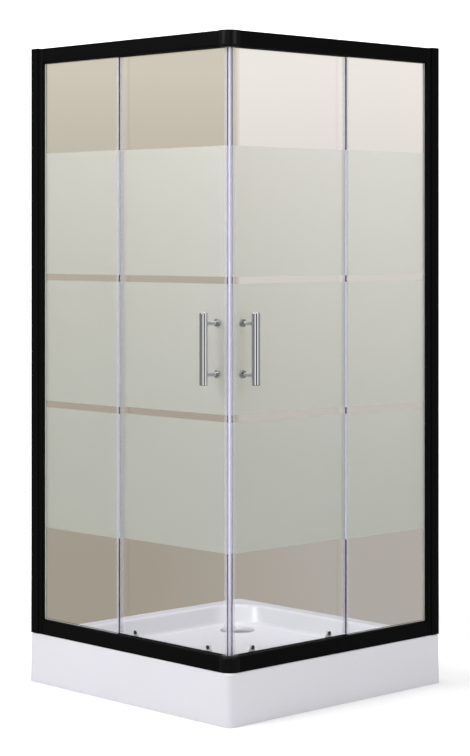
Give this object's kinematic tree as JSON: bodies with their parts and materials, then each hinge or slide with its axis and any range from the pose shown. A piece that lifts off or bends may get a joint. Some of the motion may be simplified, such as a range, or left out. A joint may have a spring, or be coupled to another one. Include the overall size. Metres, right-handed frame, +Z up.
{
  "type": "shower enclosure",
  "caption": "Square corner entry shower enclosure: white tray with skirts, black frame, banded glass panels, sliding glass doors on grooved rollers that meet at the corner, bar handles.",
  "frame": {"origin": "on the floor under the middle of the tray, at the foot of the centre levelling foot", "axes": "+Z up; -Y out through the front glass side, +X out through the side glass side; the entry corner is at +X -Y and the room's corner at -X +Y"},
  "size_m": [0.9285, 0.9285, 1.9518],
  "materials": {
    "acrylic": "glossy white sanitary acrylic",
    "galvanised_steel": "galvanised, dull",
    "waste_plastic": "plain white moulded plastic",
    "waste_steel": "pressed stainless steel",
    "dark_rubber": "matt black rubber",
    "pale_rubber": "pale grey soft glazing rubber",
    "chrome": "bright chrome plate",
    "black_coating": "black powder coat on aluminium extrusion, satin",
    "black_plastic": "black moulded plastic",
    "screw_steel": "blackened steel",
    "tempered_glass": "clear tempered glass with three frosted bands",
    "seal_plastic": "lilac white soft plastic",
    "magnet": "magnetic rubber",
    "roller_plastic": "white low friction plastic",
    "roller_metal": "cast and turned metal, satin",
    "knob_plastic": "dark glossy plastic"
  },
  "bodies": {
    "enclosure": {"shower_tray": "acrylic", "tray_support_frame": "galvanised_steel", "levelling_feet": "galvanised_steel", "waste_flange": "waste_steel", "waste_gasket": "dark_rubber", "waste_bowl": "waste_plastic", "front_wall_profile": "black_coating", "front_jamb": "black_coating", "front_top_rail": "black_coating", "front_bottom_rail": "black_coating", "front_fixed_glass": "tempered_glass", "front_glazing_gasket": "pale_rubber", "front_overlap_seal": "seal_plastic", "side_wall_profile": "black_coating", "side_jamb": "black_coating", "side_top_rail": "black_coating", "side_bottom_rail": "black_coating", "side_fixed_glass": "tempered_glass", "side_glazing_gasket": "pale_rubber", "side_overlap_seal": "seal_plastic", "wall_profile_caps": "black_plastic", "top_corner_connector": "black_plastic", "bottom_corner_connector": "black_plastic", "frame_screws": "screw_steel", "door_stops": "dark_rubber"},
    "drain_cover": {"drain_cover": "chrome"},
    "front_door": {"front_door_glass": "tempered_glass", "front_magnet_seal": "seal_plastic", "front_magnet_strip": "magnet", "front_trailing_seal": "seal_plastic", "front_handle_bar": "chrome", "front_handle_posts": "chrome", "front_handle_washers": "chrome", "front_handle_caps": "chrome", "front_top_roller_studs": "roller_metal", "front_bottom_roller_brackets": "roller_metal", "front_bottom_roller_knobs": "knob_plastic", "front_roller_caps": "chrome"},
    "side_door": {"side_door_glass": "tempered_glass", "side_magnet_seal": "seal_plastic", "side_magnet_strip": "magnet", "side_trailing_seal": "seal_plastic", "side_handle_bar": "chrome", "side_handle_posts": "chrome", "side_handle_washers": "chrome", "side_handle_caps": "chrome", "side_top_roller_studs": "roller_metal", "side_bottom_roller_brackets": "roller_metal", "side_bottom_roller_knobs": "knob_plastic", "side_roller_caps": "chrome"},
    "front_top_wheel_trail": {"front_top_wheel_trail": "roller_plastic"},
    "front_top_wheel_lead": {"front_top_wheel_lead": "roller_plastic"},
    "front_bottom_wheel_trail": {"front_bottom_wheel_trail": "roller_plastic"},
    "front_bottom_wheel_lead": {"front_bottom_wheel_lead": "roller_plastic"},
    "side_top_wheel_trail": {"side_top_wheel_trail": "roller_plastic"},
    "side_top_wheel_lead": {"side_top_wheel_lead": "roller_plastic"},
    "side_bottom_wheel_trail": {"side_bottom_wheel_trail": "roller_plastic"},
    "side_bottom_wheel_lead": {"side_bottom_wheel_lead": "roller_plastic"}
  },
  "joints": [
    {"name": "front_door_slide", "type": "slide", "parent": "enclosure", "child": "front_door", "axis": [-1, 0, 0], "range_m": [0, 0.3]},
    {"name": "side_door_slide", "type": "slide", "parent": "enclosure", "child": "side_door", "axis": [0, 1, 0], "range_m": [0, 0.3]},
    {"name": "drain_cover_lift", "type": "slide", "parent": "enclosure", "child": "drain_cover", "axis": [0, 0, 1], "range_m": [0, 0.04]},
    {"name": "front_top_wheel_trail_spin", "type": "hinge", "parent": "front_door", "child": "front_top_wheel_trail", "pos_m": [0.0145, -0.4214, 1.9254], "axis": [0, 1, 0], "continuous": true},
    {"name": "front_top_wheel_lead_spin", "type": "hinge", "parent": "front_door", "child": "front_top_wheel_lead", "pos_m": [0.328, -0.4214, 1.9254], "axis": [0, 1, 0], "continuous": true},
    {"name": "front_bottom_wheel_trail_spin", "type": "hinge", "parent": "front_door", "child": "front_bottom_wheel_trail", "pos_m": [0.0145, -0.4214, 0.1731], "axis": [0, 1, 0], "continuous": true},
    {"name": "front_bottom_wheel_lead_spin", "type": "hinge", "parent": "front_door", "child": "front_bottom_wheel_lead", "pos_m": [0.328, -0.4214, 0.1731], "axis": [0, 1, 0], "continuous": true},
    {"name": "side_top_wheel_trail_spin", "type": "hinge", "parent": "side_door", "child": "side_top_wheel_trail", "pos_m": [0.4214, -0.0145, 1.9254], "axis": [1, 0, 0], "continuous": true},
    {"name": "side_top_wheel_lead_spin", "type": "hinge", "parent": "side_door", "child": "side_top_wheel_lead", "pos_m": [0.4214, -0.328, 1.9254], "axis": [1, 0, 0], "continuous": true},
    {"name": "side_bottom_wheel_trail_spin", "type": "hinge", "parent": "side_door", "child": "side_bottom_wheel_trail", "pos_m": [0.4214, -0.0145, 0.1731], "axis": [1, 0, 0], "continuous": true},
    {"name": "side_bottom_wheel_lead_spin", "type": "hinge", "parent": "side_door", "child": "side_bottom_wheel_lead", "pos_m": [0.4214, -0.328, 0.1731], "axis": [1, 0, 0], "continuous": true}
  ],
  "couplings": [
    {"joint": "front_top_wheel_trail_spin", "follows": "front_door_slide", "rad_per_m": -114.94},
    {"joint": "front_top_wheel_lead_spin", "follows": "front_door_slide", "rad_per_m": -114.94},
    {"joint": "front_bottom_wheel_trail_spin", "follows": "front_door_slide", "rad_per_m": 114.94},
    {"joint": "front_bottom_wheel_lead_spin", "follows": "front_door_slide", "rad_per_m": 114.94},
    {"joint": "side_top_wheel_trail_spin", "follows": "side_door_slide", "rad_per_m": -114.94},
    {"joint": "side_top_wheel_lead_spin", "follows": "side_door_slide", "rad_per_m": -114.94},
    {"joint": "side_bottom_wheel_trail_spin", "follows": "side_door_slide", "rad_per_m": 114.94},
    {"joint": "side_bottom_wheel_lead_spin", "follows": "side_door_slide", "rad_per_m": 114.94}
  ]
}
